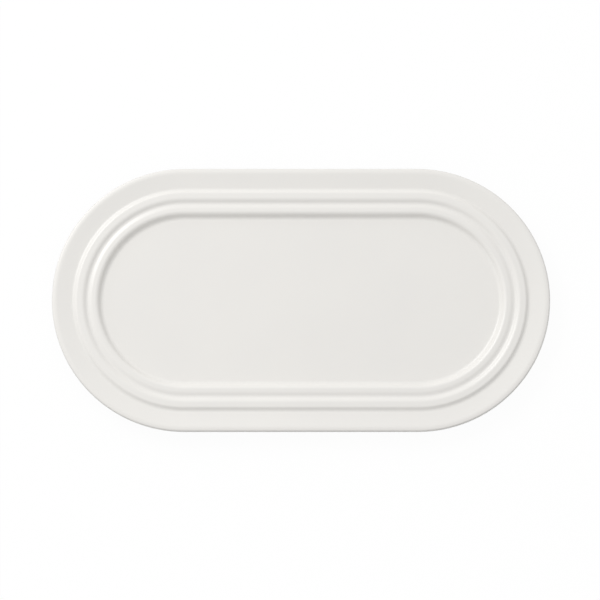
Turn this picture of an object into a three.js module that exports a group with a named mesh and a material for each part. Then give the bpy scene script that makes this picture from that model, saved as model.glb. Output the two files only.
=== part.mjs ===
// Oval plate: a one-piece stoneware serving plate with two raised beads inside a sloping flange.
//
// Millimetres, +Z up. The origin is the middle of the plane that the foot ring stands on, and +X runs along the
// plate. The plan is a straight middle with two half-round ends, so the border has the same section all the way
// round. The section is drawn once, as the distance from the plate's spine and the height above the table, and is
// carried round the plan. The spine is the straight line between the centres of the two ends.

import * as THREE from 'three';
import { mergeVertices } from 'three/addons/utils/BufferGeometryUtils.js';

// Plan
const PLATE_LENGTH = 300;
const PLATE_WIDTH = 160;

// Border, across the section
const FLANGE_WIDTH = 12.8;
const OUTER_BEAD_WIDTH = 8.3;
const INNER_BEAD_WIDTH = 8.4;

// Thickness of the floor, and heights of the face above it
const FLOOR_THICKNESS = 6;
const INNER_BEAD_HEIGHT = 3.4;
const GROOVE_HEIGHT = 2.3;
const OUTER_BEAD_HEIGHT = 4;
const FLANGE_FOOT_HEIGHT = 2.3;

// Slopes of the face, in degrees. The top of each bead falls outwards between its two shoulders.
const WELL_WALL_SLOPE = 57;
const INNER_BEAD_TOP_SLOPE = 2;
const INNER_BEAD_OUTER_SLOPE = 20;
const OUTER_BEAD_INNER_SLOPE = 36;
const OUTER_BEAD_TOP_SLOPE = 1;
const OUTER_BEAD_OUTER_SLOPE = 42;
const FLANGE_SLOPE = 10;

// Roundings of the face
const WELL_FILLET = 2.6;
const WELL_SHOULDER_RADIUS = 2.8;
const INNER_BEAD_OUTER_RADIUS = 4.4;
const GROOVE_FILLET = 2.4;
const OUTER_BEAD_INNER_RADIUS = 3.6;
const OUTER_BEAD_OUTER_RADIUS = 1.8;
const FLANGE_FILLET = 2.2;

// Lip: the flange rolls over before the edge
const ROLL_WIDTH = 2.5;
const ROLL_DROP = 0.3;
const ROLL_RADIUS = 6;
const LIP_THICKNESS = 4.4;
const LIP_UPPER_RADIUS = 1.3;
const LIP_LOWER_RADIUS = 1.4;

// Foot ring and underside
const FOOT_HEIGHT = 4;
const FOOT_WIDTH = 4;
const FOOT_INSET = 33.5;
const FOOT_DRAFT = 1.2;
const FOOT_EDGE_RADIUS = 0.8;
const COVE_HEIGHT = 4.6;
const COVE_RADIUS = 3;
const RECESS_RADIUS = 1.5;

// Glaze: a coat on the clay, wiped off the foot ring below the glaze line
const GLAZE_THICKNESS = 0.4;
const GLAZE_LINE_HEIGHT = 1.2;

// Facets
const FACET_TOLERANCE = 0.06;
const END_STEPS = 24;

const END_RADIUS = PLATE_WIDTH / 2;
const HALF_SPINE = (PLATE_LENGTH - PLATE_WIDTH) / 2;

// A corner of the section: its place, the radius that rounds it, and a name if the glaze begins or ends there.
function corner(distance, height, radius = 0, name = '') {
  return { at: new THREE.Vector2(distance, height), radius, name };
}

// The point of the foot wall from top to bottom that lies at the glaze line.
function glazeLineCorner(top, bottom, name) {
  const share = (top.at.y - GLAZE_LINE_HEIGHT) / (top.at.y - bottom.at.y);
  const at = top.at.clone().lerp(bottom.at, share);
  return corner(at.x, at.y, 0, name);
}

// Rise of a slope over a width of one.
function rise(degrees) {
  return Math.tan(THREE.MathUtils.degToRad(degrees));
}

// The two shoulders of a bead between its feet. The inner one stands at the bead's height, and the outer one is where
// the top meets the slope that climbs from the outer foot.
function beadShoulders(innerFoot, outerFoot, bead) {
  const topRise = rise(bead.topSlope);
  const outerRise = rise(bead.outerSlope);
  const innerEdge = innerFoot.at.x + (bead.top - innerFoot.at.y) / rise(bead.innerSlope);
  const width = outerFoot.at.x - innerEdge;
  const drop = bead.top - outerFoot.at.y;
  const run = (width * outerRise - drop) / (outerRise - topRise);
  return [
    corner(innerEdge, bead.top, bead.innerRadius),
    corner(innerEdge + run, bead.top - run * topRise, bead.outerRadius),
  ];
}

// Well floor and the two beads, from the middle outwards to the foot of the flange.
function wellAndBeads() {
  const well = FOOT_HEIGHT + FLOOR_THICKNESS;
  const flangeEdge = END_RADIUS - FLANGE_WIDTH;
  const grooveLine = flangeEdge - OUTER_BEAD_WIDTH;
  const wellFoot = corner(grooveLine - INNER_BEAD_WIDTH, well, WELL_FILLET);
  const groove = corner(grooveLine, well + GROOVE_HEIGHT, GROOVE_FILLET);
  const flangeFoot = corner(flangeEdge, well + FLANGE_FOOT_HEIGHT, FLANGE_FILLET);
  const innerBead = {
    top: well + INNER_BEAD_HEIGHT,
    innerSlope: WELL_WALL_SLOPE,
    topSlope: INNER_BEAD_TOP_SLOPE,
    outerSlope: INNER_BEAD_OUTER_SLOPE,
    innerRadius: WELL_SHOULDER_RADIUS,
    outerRadius: INNER_BEAD_OUTER_RADIUS,
  };
  const outerBead = {
    top: well + OUTER_BEAD_HEIGHT,
    innerSlope: OUTER_BEAD_INNER_SLOPE,
    topSlope: OUTER_BEAD_TOP_SLOPE,
    outerSlope: OUTER_BEAD_OUTER_SLOPE,
    innerRadius: OUTER_BEAD_INNER_RADIUS,
    outerRadius: OUTER_BEAD_OUTER_RADIUS,
  };
  return [
    corner(0, well),
    wellFoot,
    ...beadShoulders(wellFoot, groove, innerBead),
    groove,
    ...beadShoulders(groove, flangeFoot, outerBead),
    flangeFoot,
  ];
}

// Flange end and lip, from the roll on top to the lower edge of the lip.
function lip() {
  const flangeFoot = FOOT_HEIGHT + FLOOR_THICKNESS + FLANGE_FOOT_HEIGHT;
  const rollHeight = flangeFoot + (FLANGE_WIDTH - ROLL_WIDTH) * rise(FLANGE_SLOPE);
  return [
    corner(END_RADIUS - ROLL_WIDTH, rollHeight, ROLL_RADIUS),
    corner(END_RADIUS, rollHeight - ROLL_DROP, LIP_UPPER_RADIUS),
    corner(END_RADIUS, rollHeight - LIP_THICKNESS, LIP_LOWER_RADIUS),
  ];
}

// Foot ring and the recess inside it, from the cove under the border to the middle. The section follows the outer
// face of the glaze, so on the bare foot it runs one coat outside the clay.
function footAndRecess() {
  const outerEdge = END_RADIUS - FOOT_INSET;
  const innerEdge = outerEdge - FOOT_WIDTH;
  const cove = corner(outerEdge + FOOT_DRAFT, COVE_HEIGHT, COVE_RADIUS);
  const outerFoot = corner(outerEdge, -GLAZE_THICKNESS, FOOT_EDGE_RADIUS);
  const innerFoot = corner(innerEdge, -GLAZE_THICKNESS, FOOT_EDGE_RADIUS);
  const recess = corner(innerEdge - FOOT_DRAFT, FOOT_HEIGHT, RECESS_RADIUS);
  return [
    cove,
    glazeLineCorner(cove, outerFoot, 'outer glaze line'),
    outerFoot,
    innerFoot,
    glazeLineCorner(recess, innerFoot, 'inner glaze line'),
    recess,
    corner(0, FOOT_HEIGHT),
  ];
}

// Signed turn of the section at each corner, in radians. A left turn is positive, and the two ends don't turn.
function cornerTurns(edges) {
  const inner = edges.slice(1).map((edge, i) => Math.atan2(edges[i].cross(edge), edges[i].dot(edge)));
  return [0, ...inner, 0];
}

// Length of each corner's rounding along its two edges, shortened where two roundings would meet on an edge.
function roundingLengths(corners, turns) {
  const wanted = corners.map((c, i) => c.radius * Math.tan(Math.abs(turns[i]) / 2));
  const lengths = [...wanted];
  for (let i = 0; i + 1 < corners.length; i++) {
    const edge = corners[i].at.distanceTo(corners[i + 1].at);
    const fit = Math.min(1, edge / (wanted[i] + wanted[i + 1]));
    lengths[i] = Math.min(lengths[i], wanted[i] * fit);
    lengths[i + 1] = Math.min(lengths[i + 1], wanted[i + 1] * fit);
  }
  return lengths;
}

// Number of chords on an arc that keep within the facet tolerance of it.
function arcSteps(radius, turn) {
  const chordAngle = 2 * Math.acos(1 - FACET_TOLERANCE / Math.max(Math.abs(radius), 2 * FACET_TOLERANCE));
  return Math.ceil(Math.abs(turn) / chordAngle);
}

// A sample of the section: a point on the glaze's outer face, and the clay's point one coat under it.
function sectionSample(glaze, outward, name) {
  return { glaze, clay: glaze.clone().addScaledVector(outward, -GLAZE_THICKNESS), name };
}

// Samples the section, with each corner rounded. The outward side is on the left, so a hollow rounding has its
// centre there and a positive radius, and a crest has a negative one.
function sampleSection(corners) {
  const edges = corners.slice(1).map((c, i) => c.at.clone().sub(corners[i].at).normalize());
  const turns = cornerTurns(edges);
  const lengths = roundingLengths(corners, turns);
  const samples = [];
  corners.forEach((c, i) => {
    const along = edges[Math.max(i - 1, 0)];
    const normal = new THREE.Vector2(-along.y, along.x);
    if (lengths[i] === 0) {
      samples.push(sectionSample(c.at, normal, c.name));
      return;
    }
    const radius = lengths[i] / Math.tan(turns[i] / 2);
    const centre = c.at.clone().addScaledVector(along, -lengths[i]).addScaledVector(normal, radius);
    const steps = arcSteps(radius, turns[i]);
    for (let step = 0; step <= steps; step++) {
      const outward = normal.clone().rotateAround(new THREE.Vector2(), (turns[i] * step) / steps);
      samples.push(sectionSample(centre.clone().addScaledVector(outward, -radius), outward, c.name));
    }
  });
  return samples;
}

// A section point carried once round the plan, anticlockwise from the near end of the +X arc.
function planRing(point) {
  const ring = [];
  for (const [centre, startAngle] of [[HALF_SPINE, -Math.PI / 2], [-HALF_SPINE, Math.PI / 2]]) {
    for (let step = 0; step <= END_STEPS; step++) {
      const angle = startAngle + (Math.PI * step) / END_STEPS;
      const x = centre + point.x * Math.cos(angle);
      ring.push(new THREE.Vector3(x, point.x * Math.sin(angle), point.y));
    }
  }
  return ring;
}

// The surface that a chain of section points sweeps, as a list of triangle corners. It faces the chain's left, or
// its right when it is turned, with the same triangles either way, so that two solids can share it.
function sweep(chain, turned = false) {
  const order = turned ? [0, 2, 1, 0, 3, 2] : [0, 1, 2, 0, 2, 3];
  const rings = chain.map(planRing);
  const triangles = [];
  for (let i = 0; i + 1 < rings.length; i++) {
    for (let j = 0; j < rings[i].length; j++) {
      const next = (j + 1) % rings[i].length;
      const quad = [rings[i][j], rings[i + 1][j], rings[i + 1][next], rings[i][next]];
      triangles.push(...order.map((k) => quad[k]));
    }
  }
  return triangles;
}

// A closed solid from its surfaces. Triangles that shrink to nothing along the spine are left out.
function closedSolid(...surfaces) {
  const geometry = mergeVertices(new THREE.BufferGeometry().setFromPoints(surfaces.flat()));
  const index = Array.from(geometry.index.array);
  const kept = [];
  for (let i = 0; i < index.length; i += 3) {
    const [a, b, c] = index.slice(i, i + 3);
    if (a !== b && b !== c && c !== a) kept.push(a, b, c);
  }
  geometry.setIndex(kept);
  geometry.computeVertexNormals();
  return geometry;
}

// A glaze coat over part of the section: its outer face, its inner face on the clay, and the edge between them at the
// glaze line. Both faces are whole across the spine, so the coat has no edge there.
function glazeCoat(samples) {
  const outer = samples.map((s) => s.glaze);
  const inner = samples.map((s) => s.clay);
  const first = [inner[0], outer[0]];
  const last = [outer.at(-1), inner.at(-1)];
  const edges = [first, last].filter(([start]) => start.x > 0);
  return closedSolid(sweep(outer), sweep(inner, true), ...edges.map((edge) => sweep(edge)));
}

function namedMesh(name, geometry, material) {
  const mesh = new THREE.Mesh(geometry, new THREE.MeshStandardMaterial(material));
  mesh.name = name;
  return mesh;
}

const section = sampleSection([...wellAndBeads(), ...lip(), ...footAndRecess()]);
const outerGlazeLine = section.findIndex((s) => s.name === 'outer glaze line');
const innerGlazeLine = section.findIndex((s) => s.name === 'inner glaze line');

const CLAY = { color: 0xe2d9c8, roughness: 0.9, metalness: 0 };
const WHITE_GLAZE = { color: 0xe7e5e1, roughness: 0.2, metalness: 0 };

const plate = new THREE.Group();
plate.add(
  namedMesh('stoneware_body', closedSolid(sweep(section.map((s) => s.clay))), CLAY),
  namedMesh('face_glaze', glazeCoat(section.slice(0, outerGlazeLine + 1)), WHITE_GLAZE),
  namedMesh('base_glaze', glazeCoat(section.slice(innerGlazeLine)), WHITE_GLAZE),
);

export default plate;
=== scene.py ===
"""Oval stoneware plate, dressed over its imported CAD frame.

The plate is three pieces: the fired clay body, the white glaze coat over its face, rim and underside,
and the glaze coat inside the foot ring. Each piece is a stretch of one border section, carried round the
plan by one Geometry Nodes tree. Lengths in the section and in the finishes are millimetres. Everything
that reaches Blender is in metres.
"""

from __future__ import annotations

import logging
import math
from dataclasses import dataclass, field
from enum import Enum
from typing import Any, Mapping, Sequence, Union

import bpy
from mathutils import Matrix, Vector

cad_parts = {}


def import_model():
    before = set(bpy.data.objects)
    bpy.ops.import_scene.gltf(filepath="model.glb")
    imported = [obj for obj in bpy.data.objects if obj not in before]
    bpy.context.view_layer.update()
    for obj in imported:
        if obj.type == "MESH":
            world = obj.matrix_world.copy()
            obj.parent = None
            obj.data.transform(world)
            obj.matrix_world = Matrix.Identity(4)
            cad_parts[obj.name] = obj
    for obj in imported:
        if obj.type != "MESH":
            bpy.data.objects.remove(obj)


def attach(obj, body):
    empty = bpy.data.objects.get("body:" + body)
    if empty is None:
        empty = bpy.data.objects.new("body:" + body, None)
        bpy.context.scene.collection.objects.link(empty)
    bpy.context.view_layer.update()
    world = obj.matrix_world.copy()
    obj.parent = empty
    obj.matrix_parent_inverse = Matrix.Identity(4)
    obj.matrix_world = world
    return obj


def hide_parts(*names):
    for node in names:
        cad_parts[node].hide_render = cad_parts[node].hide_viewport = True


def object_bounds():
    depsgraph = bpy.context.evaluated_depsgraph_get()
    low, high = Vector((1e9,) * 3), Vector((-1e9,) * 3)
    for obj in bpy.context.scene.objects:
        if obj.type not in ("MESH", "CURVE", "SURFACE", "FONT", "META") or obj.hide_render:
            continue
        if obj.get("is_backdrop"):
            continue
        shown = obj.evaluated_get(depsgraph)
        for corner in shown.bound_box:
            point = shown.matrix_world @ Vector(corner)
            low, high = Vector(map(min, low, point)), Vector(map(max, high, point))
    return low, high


log = logging.getLogger("oval_plate")

MM = 0.001

Color = tuple[float, float, float, float]


class Node(str, Enum):
    """CAD nodes of the plate."""

    BODY = "stoneware_body"
    FACE = "face_glaze"
    BASE = "base_glaze"


class Slot(str, Enum):
    """Material slots of the record."""

    CLAY = "fired_clay"
    GLAZE = "white_glaze"


class Edge(Enum):
    """Places of the section where a glaze coat ends."""

    NONE = 0
    OUTER_GLAZE_LINE = 1
    INNER_GLAZE_LINE = 2


class Trait(str, Enum):
    """Values that the section hands on to the mesh, for the finishes to read."""

    HOLLOW = "hollow"
    CREST = "crest"


# Node graphs


class Wire:
    """A node's output socket that takes part in Python arithmetic."""

    def __init__(self, graph: NodeGraph, socket: bpy.types.NodeSocket) -> None:
        """Keep the socket and the graph that new nodes go into.

        Args:
            graph: The graph that holds the socket's node.
            socket: An output socket.
        """
        self.graph = graph
        self.socket = socket

    def _math(self, operation: str, first: Value, second: Value) -> Wire:
        """Add one Math node.

        Args:
            operation: The Math node's operation.
            first: Its first value.
            second: Its second value.

        Returns:
            The node's result.
        """
        inputs = {0: first, 1: second}
        return self.graph.node("ShaderNodeMath", {"operation": operation}, inputs)["Value"]

    def __add__(self, other: Value) -> Wire:
        """Sum."""
        return self._math("ADD", self, other)

    def __radd__(self, other: Value) -> Wire:
        """Reflected sum."""
        return self._math("ADD", other, self)

    def __sub__(self, other: Value) -> Wire:
        """Difference."""
        return self._math("SUBTRACT", self, other)

    def __rsub__(self, other: Value) -> Wire:
        """Reflected difference."""
        return self._math("SUBTRACT", other, self)

    def __mul__(self, other: Value) -> Wire:
        """Product."""
        return self._math("MULTIPLY", self, other)

    def __rmul__(self, other: Value) -> Wire:
        """Reflected product."""
        return self._math("MULTIPLY", other, self)

    def __truediv__(self, other: Value) -> Wire:
        """Quotient."""
        return self._math("DIVIDE", self, other)

    def __rtruediv__(self, other: Value) -> Wire:
        """Reflected quotient."""
        return self._math("DIVIDE", other, self)

    def __mod__(self, other: Value) -> Wire:
        """Remainder, never negative for a positive divisor."""
        return self._math("FLOORED_MODULO", self, other)

    def __rmod__(self, other: Value) -> Wire:
        """Reflected remainder."""
        return self._math("FLOORED_MODULO", other, self)

    def apply(self, operation: str, second: Value = 0.0) -> Wire:
        """Any other Math operation on this value.

        Args:
            operation: The Math node's operation.
            second: Its second value, where it has one.

        Returns:
            The node's result.
        """
        return self._math(operation, self, second)


Value = Union[Wire, float, int]


class GraphNode:
    """A node of a graph, whose outputs are read by name."""

    def __init__(self, graph: NodeGraph, node: bpy.types.Node) -> None:
        """Keep the node and its graph.

        Args:
            graph: The graph that holds the node.
            node: The node.
        """
        self.graph = graph
        self.node = node

    def __getitem__(self, output: str) -> Wire:
        """The output socket of that name or identifier."""
        return Wire(self.graph, find_socket(self.node.outputs, output))


def find_socket(sockets: Any, key: Union[str, int]) -> bpy.types.NodeSocket:
    """Find a socket by its place, identifier or name, in that order.

    Args:
        sockets: A node's inputs or outputs.
        key: A number, an identifier or a name.

    Returns:
        The socket.
    """
    if isinstance(key, int):
        return sockets[key]
    for socket in sockets:
        if socket.identifier == key:
            return socket
    return next(s for s in sockets if s.name == key and s.enabled)


class NodeGraph:
    """Builds a shader or geometry node tree from Python calls."""

    NOISE_MIDDLE = 0.5

    def __init__(self, tree: bpy.types.NodeTree) -> None:
        """Start on an emptied tree.

        Args:
            tree: The tree to build in.
        """
        self.tree = tree
        self.tree.nodes.clear()

    def node(
        self,
        kind: str,
        settings: Mapping[str, Any] | None = None,
        inputs: Mapping[Union[str, int], Any] | None = None,
    ) -> GraphNode:
        """Add a node, set it up and feed it.

        Args:
            kind: The node's type name.
            settings: Its properties, which are set first.
            inputs: A value or a Wire for each socket, by place, identifier or name.

        Returns:
            The node.
        """
        made = self.tree.nodes.new(kind)
        for name, value in (settings or {}).items():
            setattr(made, name, value)
        for key, value in (inputs or {}).items():
            socket = find_socket(made.inputs, key)
            if isinstance(value, Wire):
                self.tree.links.new(value.socket, socket)
            else:
                socket.default_value = value
        return GraphNode(self, made)

    def mix_color(self, factor: Value, first: Any, second: Any) -> Wire:
        """Mix two colours.

        Args:
            factor: 0 gives the first colour, 1 the second.
            first: A colour or a Wire.
            second: A colour or a Wire.

        Returns:
            The mixed colour.
        """
        inputs = {"Factor_Float": factor, "A_Color": first, "B_Color": second}
        return self.node("ShaderNodeMix", {"data_type": "RGBA"}, inputs)["Result_Color"]

    def noise(self, place: Wire, size: float, detail: float) -> Wire:
        """A noise over the piece.

        Args:
            place: The place on the piece, in metres.
            size: The size of the noise's blotches, in millimetres.
            detail: How many finer octaves it has.

        Returns:
            The noise, from 0 to 1.
        """
        inputs = {"Vector": place, "Scale": 1.0 / (size * MM), "Detail": detail}
        return self.node("ShaderNodeTexNoise", {}, inputs)["Fac"]

    def swing(self, place: Wire, size: float, detail: float) -> Wire:
        """The same noise centred on zero."""
        return self.noise(place, size, detail) - self.NOISE_MIDDLE

    def trait(self, trait: Trait) -> Wire:
        """A value that the section handed on to the mesh.

        Args:
            trait: Which value.

        Returns:
            The value at the shaded point.
        """
        settings = {"attribute_type": "GEOMETRY", "attribute_name": trait.value}
        return self.node("ShaderNodeAttribute", settings)["Fac"]

    def surface(self, color: Wire, roughness: Wire, relief: Wire, ior: float) -> None:
        """End a material's graph in a Principled shader.

        Args:
            color: The base colour.
            roughness: The roughness.
            relief: The height of the fine relief, in metres.
            ior: The refractive index.
        """
        height = {"Height": relief, "Distance": 1.0, "Strength": 1.0}
        normal = self.node("ShaderNodeBump", {}, height)["Normal"]
        sockets = {"Base Color": color, "Roughness": roughness, "Normal": normal, "IOR": ior}
        shader = self.node("ShaderNodeBsdfPrincipled", {}, sockets)["BSDF"]
        self.node("ShaderNodeOutputMaterial", {}, {"Surface": shader})


def new_material(name: str) -> tuple[bpy.types.Material, NodeGraph]:
    """Start a material on an empty graph.

    Args:
        name: The material's name.

    Returns:
        The material and its graph.
    """
    made = bpy.data.materials.new(name)
    made.use_nodes = True
    return made, NodeGraph(made.node_tree)


# Section of the border


@dataclass(frozen=True)
class Corner:
    """A corner of the section, by its distance from the spine and its height above the table.

    The radius rounds it. The pool says how much glaze gathers in it when it is a hollow, and the thin how
    far the glaze draws back from it when it is a crest, both from 0 to 1. The edge is the coat edge that
    lies on it.
    """

    distance: float
    height: float
    radius: float = 0.0
    pool: float = 0.0
    thin: float = 0.0
    edge: Edge = Edge.NONE

    @property
    def at(self) -> Vector:
        """The corner as a vector of distance from the spine and height."""
        return Vector((self.distance, self.height))


@dataclass(frozen=True)
class Sample:
    """A point on the glaze's outer face, with the direction square to the face and its traits."""

    at: Vector
    outward: Vector
    hollow: float = 0.0
    crest: float = 0.0
    edge: Edge = Edge.NONE

    def under(self, depth: float) -> Vector:
        """The point that lies a depth under the face."""
        return self.at - self.outward * depth


@dataclass(frozen=True)
class ChainPoint:
    """A section point that the sweep carries round the plan, with its traits."""

    at: Vector
    hollow: float
    crest: float


@dataclass(frozen=True)
class Bead:
    """A raised bead of the border: its height above the well in millimetres, and its slopes in degrees.

    The inner slope climbs from the foot nearer the well, the outer slope from the foot nearer the lip, and
    the top falls outwards between its two rounded shoulders. The thin is that of both shoulders.
    """

    height: float
    inner_slope: float
    top_slope: float
    outer_slope: float
    inner_radius: float
    outer_radius: float
    thin: float = 0.5

    def shoulders(self, inner: Corner, outer: Corner, well: float) -> list[Corner]:
        """The bead's two shoulders between its feet.

        Args:
            inner: The foot nearer the well.
            outer: The foot nearer the lip.
            well: The height of the well floor.

        Returns:
            The inner shoulder and the outer one, as rounded corners.
        """
        slopes = (self.inner_slope, self.top_slope, self.outer_slope)
        inner_rise, top_rise, outer_rise = (math.tan(math.radians(slope)) for slope in slopes)
        top = well + self.height
        edge = inner.distance + (top - inner.height) / inner_rise
        width = outer.distance - edge
        drop = top - outer.height
        run = (width * outer_rise - drop) / (outer_rise - top_rise)
        return [
            Corner(edge, top, self.inner_radius, thin=self.thin),
            Corner(edge + run, top - run * top_rise, self.outer_radius, thin=self.thin),
        ]


@dataclass(frozen=True)
class BorderSection:
    """The section across the border, from the middle of the well over the lip to the middle of the recess.

    Lengths are millimetres, and slopes and the arc step are degrees. The sizes are those of the solids. The
    end radius is half the plate's width, and distances are measured from the spine between the centres of
    the two round ends.
    """

    end_radius: float

    flange_width: float = 12.8
    outer_bead_width: float = 8.3
    inner_bead_width: float = 8.4
    floor_thickness: float = 6.0
    groove_above_well: float = 2.3
    flange_above_well: float = 2.3
    flange_slope: float = 10.0
    inner_bead: Bead = Bead(
        height=3.4,
        inner_slope=57.0,
        top_slope=2.0,
        outer_slope=20.0,
        inner_radius=2.8,
        outer_radius=4.4,
    )
    outer_bead: Bead = Bead(
        height=4.0,
        inner_slope=36.0,
        top_slope=1.0,
        outer_slope=42.0,
        inner_radius=3.6,
        outer_radius=1.8,
    )
    well_fillet: float = 2.6
    groove_fillet: float = 2.4
    flange_fillet: float = 2.2

    roll_width: float = 2.5
    roll_drop: float = 0.3
    roll_radius: float = 6.0
    lip_thickness: float = 4.4
    lip_upper_radius: float = 1.3
    lip_lower_radius: float = 1.4

    foot_height: float = 4.0
    foot_width: float = 4.0
    foot_inset: float = 33.5
    foot_draft: float = 1.2
    foot_edge_radius: float = 0.8
    cove_height: float = 4.6
    cove_radius: float = 3.0
    recess_radius: float = 1.5

    glaze_thickness: float = 0.4
    glaze_line_height: float = 1.2

    well_pool: float = 1.0
    groove_pool: float = 0.7
    flange_pool: float = 1.0
    foot_pool: float = 0.8
    roll_thin: float = 0.6
    lip_thin: float = 1.0
    trait_reach: float = 1.0

    arc_step: float = 6.0
    shortest_arc_steps: int = 6
    flat_step: float = 6.0
    shortest_flat: float = 0.6
    guard_length: float = 0.2

    @property
    def well_height(self) -> float:
        """Height of the well floor above the table."""
        return self.foot_height + self.floor_thickness

    def _well_and_beads(self) -> list[Corner]:
        """Corners of the well floor and the two beads.

        Returns:
            The corners from the middle of the well to the foot of the flange.
        """
        well = self.well_height
        flange_edge = self.end_radius - self.flange_width
        groove_line = flange_edge - self.outer_bead_width
        well_edge = groove_line - self.inner_bead_width
        groove_height = well + self.groove_above_well
        flange_height = well + self.flange_above_well
        well_foot = Corner(well_edge, well, self.well_fillet, self.well_pool)
        groove = Corner(groove_line, groove_height, self.groove_fillet, self.groove_pool)
        flange_foot = Corner(flange_edge, flange_height, self.flange_fillet, self.flange_pool)
        return [
            Corner(0.0, well),
            well_foot,
            *self.inner_bead.shoulders(well_foot, groove, well),
            groove,
            *self.outer_bead.shoulders(groove, flange_foot, well),
            flange_foot,
        ]

    def _lip(self) -> list[Corner]:
        """Corners of the lip.

        Returns:
            The corners from the roll at the flange's end to the lip's lower edge.
        """
        climb = (self.flange_width - self.roll_width) * math.tan(math.radians(self.flange_slope))
        roll_height = self.well_height + self.flange_above_well + climb
        roll_line = self.end_radius - self.roll_width
        upper_height = roll_height - self.roll_drop
        lower_height = roll_height - self.lip_thickness
        return [
            Corner(roll_line, roll_height, self.roll_radius, thin=self.roll_thin),
            Corner(self.end_radius, upper_height, self.lip_upper_radius, thin=self.lip_thin),
            Corner(self.end_radius, lower_height, self.lip_lower_radius, thin=self.lip_thin),
        ]

    def _glaze_line(self, top: Corner, bottom: Corner, edge: Edge) -> Corner:
        """The point of a foot wall that lies at the glaze line.

        Args:
            top: The wall's top corner.
            bottom: The wall's bottom corner.
            edge: The coat edge that lies there.

        Returns:
            The point as a corner that isn't rounded.
        """
        share = (top.height - self.glaze_line_height) / (top.height - bottom.height)
        at = top.at.lerp(bottom.at, share)
        return Corner(at.x, at.y, edge=edge)

    def _foot_and_recess(self) -> list[Corner]:
        """Corners of the foot ring and the recess inside it, one coat outside the clay on the bare foot.

        Returns:
            The corners from the cove outside the foot ring to the middle of the recess.
        """
        outer_edge = self.end_radius - self.foot_inset
        inner_edge = outer_edge - self.foot_width
        cove_line = outer_edge + self.foot_draft
        recess_line = inner_edge - self.foot_draft
        foot_bottom = -self.glaze_thickness
        cove = Corner(cove_line, self.cove_height, self.cove_radius, self.foot_pool)
        outer_foot = Corner(outer_edge, foot_bottom, self.foot_edge_radius)
        inner_foot = Corner(inner_edge, foot_bottom, self.foot_edge_radius)
        recess = Corner(recess_line, self.foot_height, self.recess_radius, self.foot_pool)
        return [
            cove,
            self._glaze_line(cove, outer_foot, Edge.OUTER_GLAZE_LINE),
            outer_foot,
            inner_foot,
            self._glaze_line(recess, inner_foot, Edge.INNER_GLAZE_LINE),
            recess,
            Corner(0.0, self.foot_height),
        ]

    @staticmethod
    def _rounding_lengths(corners: Sequence[Corner], turns: Sequence[float]) -> list[float]:
        """Length of each corner's rounding along its edges, shortened where two would meet on an edge.

        Args:
            corners: The corners in order.
            turns: The turn at each corner, in radians.

        Returns:
            One length for each corner.
        """
        wanted = [c.radius * math.tan(abs(turn) / 2) for c, turn in zip(corners, turns)]
        lengths = list(wanted)
        for i in range(len(corners) - 1):
            both = wanted[i] + wanted[i + 1]
            edge = (corners[i + 1].at - corners[i].at).length
            fit = min(1.0, edge / both) if both else 1.0
            lengths[i] = min(lengths[i], wanted[i] * fit)
            lengths[i + 1] = min(lengths[i + 1], wanted[i + 1] * fit)
        return lengths

    def _arc(self, corner: Corner, along: Vector, turn: float, length: float) -> list[Sample]:
        """Samples of one rounded corner.

        Args:
            corner: The corner.
            along: The direction of the edge that leads to it.
            turn: The turn at the corner in radians, positive to the left.
            length: The length of the rounding along each edge.

        Returns:
            Samples from the start of the arc to its end.
        """
        normal = Vector((-along.y, along.x))
        radius = length / math.tan(turn / 2)
        centre = corner.at - along * length + normal * radius
        steps = max(self.shortest_arc_steps, math.ceil(math.degrees(abs(turn)) / self.arc_step))
        samples = []
        for step in range(steps + 1):
            outward = Matrix.Rotation(turn * step / steps, 2) @ normal
            samples.append(Sample(centre - outward * radius, outward, edge=corner.edge))
        return samples

    def _flat(self, first: Sample, last: Sample) -> list[Sample]:
        """Samples between the ends of a flat, with a close one beside each end.

        The close ones keep the smooth shading of the flat from bending at the arcs.

        Args:
            first: The sample where the flat begins.
            last: The sample where it ends.

        Returns:
            The samples between the two.
        """
        length = (last.at - first.at).length
        if length < self.shortest_flat:
            return []
        steps = math.ceil(length / self.flat_step)
        places = [length * step / steps for step in range(1, steps)]
        places = sorted([self.guard_length, *places, length - self.guard_length])
        return [Sample(first.at.lerp(last.at, place / length), first.outward) for place in places]

    def _with_traits(self, sample: Sample, corners: Sequence[Corner]) -> Sample:
        """The sample with its hollow and crest values, which fade with distance from the corners.

        Args:
            sample: A sample of the section.
            corners: The section's corners.

        Returns:
            The same sample with its traits.
        """

        def near(corner: Corner) -> float:
            """How near the corner is, from 1 on it to 0 far off."""
            return math.exp(-(((sample.at - corner.at).length / self.trait_reach) ** 2))

        hollow = max(corner.pool * near(corner) for corner in corners)
        crest = max(corner.thin * near(corner) for corner in corners)
        return Sample(sample.at, sample.outward, hollow, crest, sample.edge)

    def samples(self) -> list[Sample]:
        """Samples of the whole section, closer together on the arcs than on the flats.

        Returns:
            Points on the glaze's outer face, in order.
        """
        corners = [*self._well_and_beads(), *self._lip(), *self._foot_and_recess()]
        ways = [(b.at - a.at).normalized() for a, b in zip(corners, corners[1:])]
        inner_turns = [math.atan2(a.x * b.y - a.y * b.x, a.dot(b)) for a, b in zip(ways, ways[1:])]
        turns = [0.0, *inner_turns, 0.0]
        lengths = self._rounding_lengths(corners, turns)
        samples: list[Sample] = []
        for i, corner in enumerate(corners):
            along = ways[max(i - 1, 0)]
            if lengths[i]:
                stretch = self._arc(corner, along, turns[i], lengths[i])
            else:
                stretch = [Sample(corner.at, Vector((-along.y, along.x)), edge=corner.edge)]
            if samples:
                samples.extend(self._flat(samples[-1], stretch[0]))
            samples.extend(stretch)
        return [self._with_traits(sample, corners) for sample in samples]


# Sweep round the plan


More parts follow.
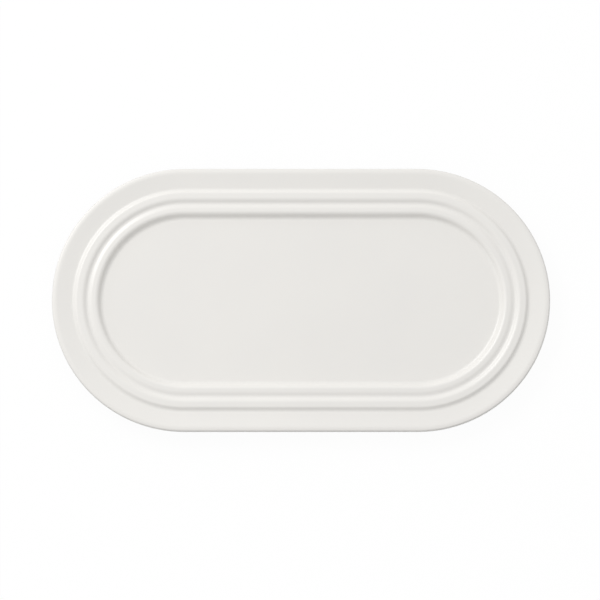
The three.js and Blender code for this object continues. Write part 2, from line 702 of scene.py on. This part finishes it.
class PlanSweep:
    """The Geometry Nodes tree that carries a section round a plan with two half-round ends."""

    SECTION = "Section"
    HALF_SPINE = "Half spine"
    END_STEPS = "End steps"
    FINISH = "Finish"
    PIECE = "Piece"
    SOCKETS = {
        SECTION: "NodeSocketGeometry",
        HALF_SPINE: "NodeSocketFloat",
        END_STEPS: "NodeSocketInt",
        FINISH: "NodeSocketMaterial",
    }
    MERGE_DISTANCE = 1e-6

    def __init__(self) -> None:
        """Build the tree with its named inputs."""
        self.tree = bpy.data.node_groups.new("plan_sweep", "GeometryNodeTree")
        face = self.tree.interface
        self.inputs: dict[str, bpy.types.NodeTreeInterfaceSocket] = {}
        for name, kind in self.SOCKETS.items():
            self.inputs[name] = face.new_socket(name, in_out="INPUT", socket_type=kind)
        face.new_socket(self.PIECE, in_out="OUTPUT", socket_type="NodeSocketGeometry")
        self._wire_up(NodeGraph(self.tree))

    def _wire_up(self, graph: NodeGraph) -> None:
        """Add the nodes: a grid whose rows are section points and whose columns are places round the plan.

        The columns go round the +X end, from -0.5 to 0.5 half circles, then round the -X end, from 0.5 to
        1.5, and the last one lies on the first, where the merge closes the ring.

        Args:
            graph: The tree's graph.
        """
        given = graph.node("NodeGroupInput")
        section = given[self.SECTION]
        half_ring = given[self.END_STEPS] + 1.0
        columns = half_ring * 2.0 + 1.0
        rows = graph.node("GeometryNodeAttributeDomainSize", {}, {"Geometry": section})["Point Count"]
        counts = {"Vertices X": rows, "Vertices Y": columns}
        grid = graph.node("GeometryNodeMeshGrid", {}, counts)["Mesh"]

        index = graph.node("GeometryNodeInputIndex")["Index"]
        row = (index / columns).apply("FLOOR")
        column = index % columns
        end = (column / half_ring).apply("FLOOR")
        turn = end - 0.5 + (column % half_ring) / given[self.END_STEPS]
        angle = turn * math.pi
        centre = given[self.HALF_SPINE] * (1.0 - 2.0 * (end % 2.0))

        place = graph.node("GeometryNodeInputPosition")["Position"]
        sampled = self._sample(graph, section, place, row, "FLOAT_VECTOR")
        point = graph.node("ShaderNodeSeparateXYZ", {}, {"Vector": sampled})
        carried = {
            "X": centre + point["X"] * angle.apply("COSINE"),
            "Y": point["X"] * angle.apply("SINE"),
            "Z": point["Z"],
        }
        position = graph.node("ShaderNodeCombineXYZ", {}, carried)["Vector"]
        placed = {"Geometry": grid, "Position": position}
        swept = graph.node("GeometryNodeSetPosition", {}, placed)["Geometry"]
        for trait in Trait:
            swept = self._hand_on(graph, swept, section, row, trait)
        merge = {"Geometry": swept, "Distance": self.MERGE_DISTANCE}
        closed = graph.node("GeometryNodeMergeByDistance", {}, merge)["Geometry"]
        smooth = graph.node("GeometryNodeSetShadeSmooth", {}, {"Geometry": closed})["Geometry"]
        real = graph.node("GeometryNodeRealizeInstances", {}, {"Geometry": smooth})["Geometry"]
        dressed = {"Geometry": real, "Material": given[self.FINISH]}
        piece = graph.node("GeometryNodeSetMaterial", {}, dressed)["Geometry"]
        graph.node("NodeGroupOutput", {}, {self.PIECE: piece})

    @staticmethod
    def _sample(graph: NodeGraph, section: Wire, value: Wire, row: Wire, data_type: str) -> Wire:
        """A value of the section's point for each row.

        Args:
            graph: The tree's graph.
            section: The section.
            value: The value to read there.
            row: The point's number.
            data_type: The value's type.

        Returns:
            The value.
        """
        inputs = {"Geometry": section, "Value": value, "Index": row}
        return graph.node("GeometryNodeSampleIndex", {"data_type": data_type}, inputs)["Value"]

    def _hand_on(self, graph: NodeGraph, swept: Wire, section: Wire, row: Wire, trait: Trait) -> Wire:
        """Copy one trait from the section to the swept mesh.

        Args:
            graph: The tree's graph.
            swept: The swept mesh.
            section: The section.
            row: The section point's number at each point of the mesh.
            trait: The trait.

        Returns:
            The mesh with the trait on its points.
        """
        kind = {"data_type": "FLOAT"}
        named = graph.node("GeometryNodeInputNamedAttribute", kind, {"Name": trait.value})["Attribute"]
        value = self._sample(graph, section, named, row, "FLOAT")
        stored = {"Geometry": swept, "Name": trait.value, "Value": value}
        return graph.node("GeometryNodeStoreNamedAttribute", kind, stored)["Geometry"]

    def carry(
        self,
        name: str,
        chain: Sequence[ChainPoint],
        half_spine: float,
        end_steps: int,
        finish: bpy.types.Material,
    ) -> bpy.types.Object:
        """Sweep a chain of section points into a plain mesh object.

        Args:
            name: The object's name.
            chain: The section points in order, with the solid on their right.
            half_spine: Half the length of the spine, in millimetres.
            end_steps: Steps round each half-round end.
            finish: The piece's material.

        Returns:
            The object, at the origin.
        """
        section = bpy.data.meshes.new(name + "_section")
        section.from_pydata([(p.at.x * MM, 0.0, p.at.y * MM) for p in chain], [], [])
        for trait in Trait:
            values = [getattr(p, trait.value) for p in chain]
            section.attributes.new(trait.value, "FLOAT", "POINT").data.foreach_set("value", values)
        piece = bpy.data.objects.new(name, section)
        bpy.context.scene.collection.objects.link(piece)
        modifier = piece.modifiers.new("plan_sweep", "NODES")
        modifier.node_group = self.tree
        modifier[self.inputs[self.HALF_SPINE].identifier] = half_spine * MM
        modifier[self.inputs[self.END_STEPS].identifier] = end_steps
        modifier[self.inputs[self.FINISH].identifier] = finish
        depsgraph = bpy.context.evaluated_depsgraph_get()
        mesh = bpy.data.meshes.new_from_object(piece.evaluated_get(depsgraph), depsgraph=depsgraph)
        mesh.name = name
        piece.modifiers.remove(modifier)
        piece.data = mesh
        bpy.data.meshes.remove(section)
        return piece


# Finishes


@dataclass(frozen=True)
class WhiteGlaze:
    """Warm white glaze, satin to glossy, a little greener where it pools and paler where it draws thin.

    Sizes and depths are millimetres.
    """

    color: Color = (0.856, 0.839, 0.805, 1.0)
    cloud_color: Color = (0.824, 0.809, 0.782, 1.0)
    pooled_color: Color = (0.70, 0.705, 0.67, 1.0)
    thin_color: Color = (0.87, 0.85, 0.815, 1.0)
    pooling: float = 0.05
    thinning: float = 0.3
    cloud_size: float = 38.0
    cloud_detail: float = 3.0
    roughness: float = 0.30
    roughness_spread: float = 0.06
    roughness_patch_size: float = 14.0
    roughness_detail: float = 2.0
    dimple_size: float = 3.2
    dimple_depth: float = 0.006
    wave_size: float = 26.0
    wave_depth: float = 0.02
    relief_detail: float = 1.0
    ior: float = 1.5

    def material(self) -> bpy.types.Material:
        """Build the material.

        Returns:
            The glaze as a material.
        """
        made, graph = new_material(Slot.GLAZE.value)
        place = graph.node("ShaderNodeTexCoord")["Object"]
        hollow = graph.trait(Trait.HOLLOW)
        crest = graph.trait(Trait.CREST)

        clouds = graph.noise(place, self.cloud_size, self.cloud_detail)
        color = graph.mix_color(clouds, self.color, self.cloud_color)
        color = graph.mix_color(hollow * self.pooling, color, self.pooled_color)
        color = graph.mix_color(crest * self.thinning, color, self.thin_color)

        patches = graph.swing(place, self.roughness_patch_size, self.roughness_detail)
        roughness = self.roughness + patches * self.roughness_spread

        dimples = graph.swing(place, self.dimple_size, self.relief_detail) * (self.dimple_depth * MM)
        waves = graph.swing(place, self.wave_size, self.relief_detail) * (self.wave_depth * MM)
        graph.surface(color, roughness, dimples + waves, self.ior)
        return made


@dataclass(frozen=True)
class BareClay:
    """Bare fired stoneware: matte buff clay with a fine grit. Sizes and depths are millimetres."""

    color: Color = (0.73, 0.66, 0.56, 1.0)
    dark_color: Color = (0.60, 0.52, 0.42, 1.0)
    patch_size: float = 12.0
    grit_size: float = 0.9
    grit_depth: float = 0.05
    grit_tone: float = 0.8
    detail: float = 3.0
    roughness: float = 0.85
    roughness_spread: float = 0.15
    ior: float = 1.45

    def material(self) -> bpy.types.Material:
        """Build the material.

        Returns:
            The clay as a material.
        """
        made, graph = new_material(Slot.CLAY.value)
        place = graph.node("ShaderNodeTexCoord")["Object"]
        grit = graph.swing(place, self.grit_size, self.detail)
        patches = graph.noise(place, self.patch_size, self.detail)
        tone = (patches + grit * self.grit_tone).apply("MAXIMUM", 0.0).apply("MINIMUM", 1.0)
        color = graph.mix_color(tone, self.color, self.dark_color)
        roughness = self.roughness + grit * self.roughness_spread
        graph.surface(color, roughness, grit * (self.grit_depth * MM), self.ior)
        return made


# Pieces of the plate


@dataclass
class SweptPiece:
    """A piece of the plate: a chain of section points carried round the plan."""

    section: BorderSection
    half_spine: float
    end_steps: int = 64
    node: Node = field(init=False)
    slot: Slot = field(init=False)

    def chain(self, samples: Sequence[Sample]) -> list[ChainPoint]:
        """The piece's outline in the section, with the solid on its right.

        Args:
            samples: The whole section on the glaze's outer face.

        Returns:
            The points that are swept.
        """
        raise NotImplementedError

    def build(self, sweep: PlanSweep, finish: bpy.types.Material) -> bpy.types.Object:
        """Sweep the piece and put it in its CAD node's place.

        Args:
            sweep: The sweep round the plan.
            finish: The piece's material.

        Returns:
            The piece's object.
        """
        chain = self.chain(self.section.samples())
        name = self.node.value + "_shell"
        piece = sweep.carry(name, chain, self.half_spine, self.end_steps, finish)
        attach(piece, "root")
        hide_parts(self.node.value)
        return piece


@dataclass
class ClayBody(SweptPiece):
    """The fired clay, one coat under the section all the way round."""

    node: Node = field(init=False, default=Node.BODY)
    slot: Slot = field(init=False, default=Slot.CLAY)

    def chain(self, samples: Sequence[Sample]) -> list[ChainPoint]:
        """The whole section moved in by one coat."""
        depth = self.section.glaze_thickness
        return [ChainPoint(s.under(depth), s.hollow, s.crest) for s in samples]


@dataclass
class GlazeCoat(SweptPiece):
    """A glaze coat over a stretch of the section, which ends in a rounded edge at its glaze line."""

    slot: Slot = field(init=False, default=Slot.GLAZE)
    edge_width: float = 0.5
    edge_steps: int = 5

    def stretch(self, samples: Sequence[Sample]) -> list[Sample]:
        """The samples that the coat covers, from the middle of the plate to its glaze line.

        Args:
            samples: The whole section.

        Returns:
            The stretch, starting at the spine.
        """
        raise NotImplementedError

    def _rounded_edge(self, line: Sample, inwards: Vector) -> list[Vector]:
        """The rounded end of the coat at its glaze line, from the outer face to the clay.

        Args:
            line: The sample on the glaze line.
            inwards: The direction along the face, back into the coat.

        Returns:
            Points of a quarter ellipse that ends on the clay.
        """
        thickness = self.section.glaze_thickness
        points = []
        for step in range(1, self.edge_steps + 1):
            angle = math.pi / 2 * step / self.edge_steps
            back = self.edge_width * (1.0 - math.sin(angle))
            depth = thickness * (1.0 - math.cos(angle))
            points.append(line.under(depth) + inwards * back)
        return points

    def _outline(self, stretch: Sequence[Sample]) -> list[ChainPoint]:
        """The coat's outline: its outer face, its rounded edge and its inner face.

        Both faces are whole across the spine, so the outline is open there.

        Args:
            stretch: The samples that it covers, from the spine to the glaze line.

        Returns:
            The outline, which begins and ends on the spine.
        """
        line = stretch[-1]
        depth = self.section.glaze_thickness
        inwards = (stretch[-2].at - line.at).normalized()
        face = [s for s in stretch if (s.at - line.at).length > self.edge_width]
        outer = [ChainPoint(s.at, s.hollow, s.crest) for s in face]
        turn_in = ChainPoint(line.at + inwards * self.edge_width, line.hollow, line.crest)
        edge = [ChainPoint(at, line.hollow, line.crest) for at in self._rounded_edge(line, inwards)]
        inner = [ChainPoint(s.under(depth), s.hollow, s.crest) for s in reversed(face)]
        return [*outer, turn_in, *edge, *inner]


@dataclass
class FaceGlaze(GlazeCoat):
    """The coat over the face, round the lip and down the underside to the foot ring's outer glaze line."""

    node: Node = field(init=False, default=Node.FACE)

    def stretch(self, samples: Sequence[Sample]) -> list[Sample]:
        """The section up to the outer glaze line."""
        last = next(i for i, s in enumerate(samples) if s.edge is Edge.OUTER_GLAZE_LINE)
        return list(samples[: last + 1])

    def chain(self, samples: Sequence[Sample]) -> list[ChainPoint]:
        """The coat's outline."""
        return self._outline(self.stretch(samples))


@dataclass
class BaseGlaze(GlazeCoat):
    """The coat inside the foot ring, up to the ring's inner glaze line."""

    node: Node = field(init=False, default=Node.BASE)

    def stretch(self, samples: Sequence[Sample]) -> list[Sample]:
        """The section from the inner glaze line on, turned round so that it starts at the spine."""
        first = next(i for i, s in enumerate(samples) if s.edge is Edge.INNER_GLAZE_LINE)
        return list(reversed(samples[first:]))

    def chain(self, samples: Sequence[Sample]) -> list[ChainPoint]:
        """The coat's outline, turned round again so that the solid stays on its right."""
        return list(reversed(self._outline(self.stretch(samples))))


@dataclass
class OvalPlate:
    """The plate: its plan from the CAD box in millimetres, its section, and its three pieces."""

    length: float
    width: float
    glaze: WhiteGlaze = field(default_factory=WhiteGlaze)
    clay: BareClay = field(default_factory=BareClay)

    def build(self) -> list[bpy.types.Object]:
        """Build and dress the pieces.

        Returns:
            The pieces' objects.
        """
        section = BorderSection(end_radius=self.width / 2)
        half_spine = (self.length - self.width) / 2
        sweep = PlanSweep()
        glaze = self.glaze.material()
        clay = self.clay.material()
        return [
            ClayBody(section, half_spine).build(sweep, clay),
            FaceGlaze(section, half_spine).build(sweep, glaze),
            BaseGlaze(section, half_spine).build(sweep, glaze),
        ]


# Studio


@dataclass(frozen=True)
class Studio:
    """White studio: a seamless floor, soft light from all round, one soft box on the left, and the camera.

    Lengths are metres, and angles are degrees, with azimuths anticlockwise from +X. The camera's frame is
    the width that the square picture shows. The floor's glow is the share of it that shows as plain white
    where it is seen as background. The rest is matte paint, which takes the plate's shadow. The floor's
    white is the strength of that plain white, a little over 1 to make up for the darker paint.
    """

    floor_size: float = 12.0
    floor_color: Color = (0.3, 0.3, 0.3, 1.0)
    white: Color = (1.0, 1.0, 1.0, 1.0)
    floor_glow: float = 0.86
    floor_white: float = 1.115
    fill_level: float = 0.735
    fill_slope: tuple[float, float, float] = (-0.12, 0.16, -0.064)
    key_azimuth: float = 136.0
    key_elevation: float = 46.0
    key_distance: float = 1.86
    key_size: float = 0.9
    key_radiance: float = 5.3
    camera_azimuth: float = -90.0
    camera_elevation: float = 81.5
    camera_distance: float = 2.6
    camera_frame: float = 0.3617
    camera_aim: tuple[float, float, float] = (-0.0006, 0.0002, 0.010)
    sensor_width: float = 36.0

    @staticmethod
    def _toward(azimuth: float, elevation: float) -> Vector:
        """Direction towards a place given by its angles.

        Args:
            azimuth: Degrees anticlockwise from +X.
            elevation: Degrees above the table.

        Returns:
            A vector of length one.
        """
        turn = math.radians(azimuth)
        lift = math.radians(elevation)
        level = math.cos(lift)
        return Vector((level * math.cos(turn), level * math.sin(turn), math.sin(lift)))

    @staticmethod
    def _aimed(data: Any, name: str, place: Vector, target: Vector) -> bpy.types.Object:
        """Put a light or a camera somewhere, looking at a point.

        Args:
            data: The light or the camera.
            name: The object's name.
            place: Where it stands.
            target: The point that it looks at.

        Returns:
            The object.
        """
        made = bpy.data.objects.new(name, data)
        made.location = place
        made.rotation_euler = (target - place).to_track_quat("-Z", "Y").to_euler()
        bpy.context.scene.collection.objects.link(made)
        return made

    @staticmethod
    def _seen_directly(graph: NodeGraph) -> Wire:
        """Tell the rays that show the background: from the camera, off gloss and through glass.

        Args:
            graph: The graph of the floor or the world.

        Returns:
            1 for such rays, and 0 for all others.
        """
        path = graph.node("ShaderNodeLightPath")
        seen = path["Is Camera Ray"] + path["Is Glossy Ray"] + path["Is Transmission Ray"]
        return seen.apply("MINIMUM", 1.0)

    def build_floor(self) -> None:
        """A white floor that still takes the plate's soft shadow."""
        half = self.floor_size / 2
        corners = [(-half, -half, 0.0), (half, -half, 0.0), (half, half, 0.0), (-half, half, 0.0)]
        mesh = bpy.data.meshes.new("studio_floor")
        mesh.from_pydata(corners, [], [(0, 1, 2, 3)])
        floor = bpy.data.objects.new("studio_floor", mesh)
        bpy.context.scene.collection.objects.link(floor)
        paint, graph = new_material("studio_floor")
        matte = graph.node("ShaderNodeBsdfDiffuse", {}, {"Color": self.floor_color})["BSDF"]
        plain = {"Color": self.white, "Strength": self.floor_white}
        white = graph.node("ShaderNodeEmission", {}, plain)["Emission"]
        glow = self._seen_directly(graph) * self.floor_glow
        surface = graph.node("ShaderNodeMixShader", {}, {0: glow, 1: matte, 2: white})["Shader"]
        graph.node("ShaderNodeOutputMaterial", {}, {"Surface": surface})
        mesh.materials.append(paint)
        floor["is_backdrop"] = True

    def build_world(self) -> None:
        """Soft light from all round, stronger from the far left, with white behind the object."""
        world = bpy.data.worlds.new("studio_fill")
        world.use_nodes = True
        bpy.context.scene.world = world
        graph = NodeGraph(world.node_tree)
        way = graph.node("ShaderNodeTexCoord")["Generated"]
        along = {0: way, 1: self.fill_slope}
        slope = graph.node("ShaderNodeVectorMath", {"operation": "DOT_PRODUCT"}, along)["Value"]
        fill = slope + self.fill_level
        seen = self._seen_directly(graph)
        level = fill + seen * (1.0 - fill)
        glow = {"Color": self.white, "Strength": level}
        sky = graph.node("ShaderNodeBackground", {}, glow)["Background"]
        graph.node("ShaderNodeOutputWorld", {}, {"Surface": sky})

    def build_key(self) -> None:
        """The soft box. Its power is its radiance times pi times its area."""
        lamp = bpy.data.lights.new("soft_box", "AREA")
        lamp.shape = "SQUARE"
        lamp.size = self.key_size
        lamp.energy = self.key_radiance * math.pi * self.key_size**2
        place = self._toward(self.key_azimuth, self.key_elevation) * self.key_distance
        self._aimed(lamp, "soft_box", place, Vector())

    def build_camera(self) -> None:
        """The camera, nearly overhead on a long lens."""
        lens = bpy.data.cameras.new("camera")
        lens.sensor_width = self.sensor_width
        lens.lens = self.sensor_width * self.camera_distance / self.camera_frame
        target = Vector(self.camera_aim)
        place = target + self._toward(self.camera_azimuth, self.camera_elevation) * self.camera_distance
        bpy.context.scene.camera = self._aimed(lens, "camera", place, target)

    def build(self) -> None:
        """Build the whole studio."""
        self.build_camera()
        self.build_floor()
        self.build_world()
        self.build_key()
        bpy.context.scene.view_settings.view_transform = "Standard"


def main() -> None:
    logging.basicConfig(level=logging.INFO, format="%(name)s: %(message)s")
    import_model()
    cad_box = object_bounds()
    extent = (cad_box[1] - cad_box[0]) / MM
    plate = OvalPlate(length=extent.x, width=extent.y)
    for piece in plate.build():
        log.info("%s: %d faces", piece.name, len(piece.data.polygons))
    Studio().build()


if __name__ == "__main__":
    main()
